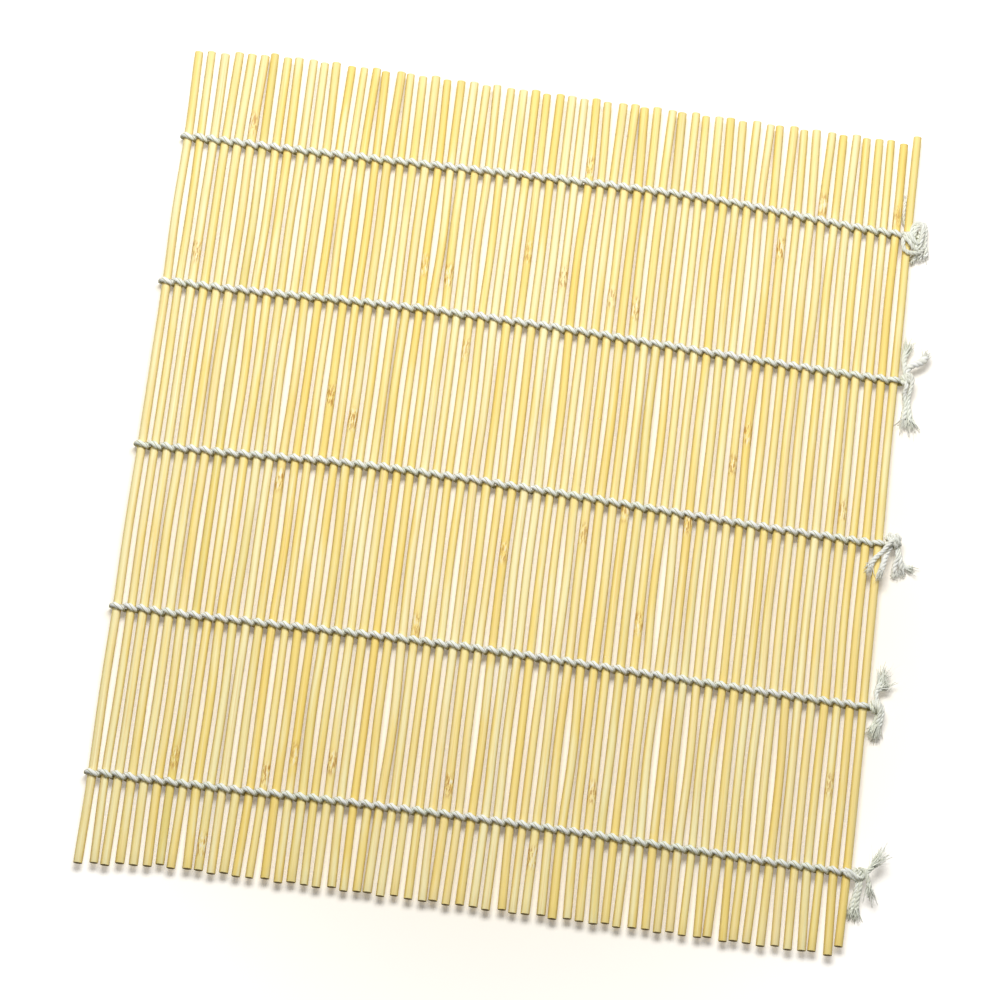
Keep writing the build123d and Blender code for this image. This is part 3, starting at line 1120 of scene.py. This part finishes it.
def coilPoints(start, finish, radii, turns):
    # the turns of a knot: round the line from start to finish, wider in its middle
    axis = (finish - start).normalized()
    side = axis.cross(up).normalized()
    out = axis.cross(side)
    steps = max(knotLook["coilSteps"], round(turns * knotLook["coilSteps"]))
    points = []
    for step in range(steps + 1):
        share = step / steps
        place = share * (len(radii) - 1)
        low = min(int(place), len(radii) - 2)
        radius = radii[low] + (radii[low + 1] - radii[low]) * (place - low)
        angle = share * turns * 2 * math.pi
        point = start.lerp(finish, share) + (side * math.cos(angle) - out * math.sin(angle)) * radius
        point.z = max(point.z, knotLook["radius"] * knotLook["coilLift"])
        points.append(point)
    return points


tied, loose = emptyShape(), emptyShape()
for row, knot in enumerate(knots):
    rng = random.Random(knotLook["firstSeed"] + row)
    ground = Vector((*knotCentre(row).xy, 0))

    def fromKnot(point):
        return ground + Vector(point) / perMetre

    for start, finish, radii, turns in knot["coils"]:
        radii = [radius / perMetre for radius in radii]
        coil = coilPoints(fromKnot(start), fromKnot(finish), radii, turns)
        addString(tied, coil, rng, knotLook["knotSoil"])
    for points in knot["strands"]:
        addString(tied, [fromKnot(point) for point in points], rng, knotLook["knotSoil"])
    slack = knotLook["endRadius"] - knotLook["radius"]
    for points, frayed, spread, thickness in knot["tails"]:
        route = [fromKnot(point) for point in points]
        ends = addString(loose, route, rng, knotLook["tailSoil"], slack, thickness)
        addFray(loose, ends, frayed / perMetre, spread, rng)
for shape, name, node in ((tied, "tied_knots", "end_knots"), (loose, "loose_tails", "knot_tails")):
    piece = stringMesh(name, shape)
    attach(piece, "knot_edge")
    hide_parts(node)
print("knots and tails made")


# A pale floor and soft light, as in a studio
studio = {
    "floorSize": 8.0,
    "floorAway": (0.94, 0.94, 0.94, 1),
    # painted warm bounce light under the mat, in the floor's colour and in its glow
    "floorUnderBounceTint": (0.95, 0.905, 0.805, 1),
    "glowTint": (1.0, 0.94, 0.87, 1),
    "liftUnder": 0.17,
    "liftAway": 0.45,
    "liftSpan": (0.8, 1.8),
    "skyColour": (1, 1, 1, 1),
    "skyStrength": 0.16,
    "keyPlace": (-0.06, 0.26, 0.62),
    "keySize": (0.46, 0.24),
    "keyPower": 4.65,
}


def seenDirectly(tree):
    # 1 where the camera sees it, straight or in a gloss or through glass, and 0 where it only lights the mat
    ray = addNode(tree, "ShaderNodeLightPath").outputs
    seen = mathOf(tree, "MAXIMUM", ray["Is Camera Ray"], ray["Is Glossy Ray"])
    return mathOf(tree, "MAXIMUM", seen, ray["Is Transmission Ray"])


def makeFloor():
    bpy.ops.mesh.primitive_plane_add(size=studio["floorSize"], location=(0, 0, 0))
    floor = bpy.context.object
    floor.name = "studio_floor"
    material, tree = newMaterial("pale_floor")
    # the floor glows white away from the mat and less about it; under the mat its colour and its glow are
    # painted warm light, as if thrown back from the bamboo into the gaps
    place = addNode(tree, "ShaderNodeTexCoord").outputs["Object"]
    reach = (1 / halfWidth, 2 / layout["stickLength"], 0)
    outward = addNode(tree, "ShaderNodeVectorMath", {0: place, 1: reach}, operation="MULTIPLY").outputs[0]
    distance = addNode(tree, "ShaderNodeVectorMath", {0: outward}, operation="LENGTH").outputs["Value"]
    away = rangeOf(tree, distance, *studio["liftSpan"])
    glow = rangeOf(tree, away, 0.0, 1.0, studio["liftUnder"], studio["liftAway"], smooth=False)
    strength = times(tree, seenDirectly(tree), glow)
    base = addNode(tree, "ShaderNodeBsdfDiffuse", {
        "Color": mixColours(tree, away, studio["floorUnderBounceTint"], studio["floorAway"]),
    })
    lift = addNode(tree, "ShaderNodeEmission", {"Color": studio["glowTint"], "Strength": strength})
    both = addNode(tree, "ShaderNodeAddShader", {0: base.outputs[0], 1: lift.outputs[0]})
    addNode(tree, "ShaderNodeOutputMaterial", {0: both.outputs[0]})
    floor.data.materials.append(material)


def makeLight():
    world = bpy.data.worlds.new("studio_sky")
    bpy.context.scene.world = world
    world.use_nodes = True
    tree = world.node_tree
    tree.nodes.clear()
    strength = rangeOf(tree, seenDirectly(tree), 0.0, 1.0, studio["skyStrength"], 1.0, smooth=False)
    sky = addNode(tree, "ShaderNodeBackground", {"Color": studio["skyColour"], "Strength": strength})
    addNode(tree, "ShaderNodeOutputWorld", {0: sky.outputs[0]})
    place = Vector(studio["keyPlace"])
    bpy.ops.object.light_add(type="AREA", location=place)
    key = bpy.context.object
    key.name = "soft_key_light"
    key.rotation_euler = place.to_track_quat("Z", "Y").to_euler()
    key.data.shape = "RECTANGLE"
    key.data.size, key.data.size_y = studio["keySize"]
    key.data.energy = studio["keyPower"]


deselectAll()
makeFloor()
deselectAll()
makeLight()
bpy.context.scene.view_settings.view_transform = "Standard"
print("floor and light made")
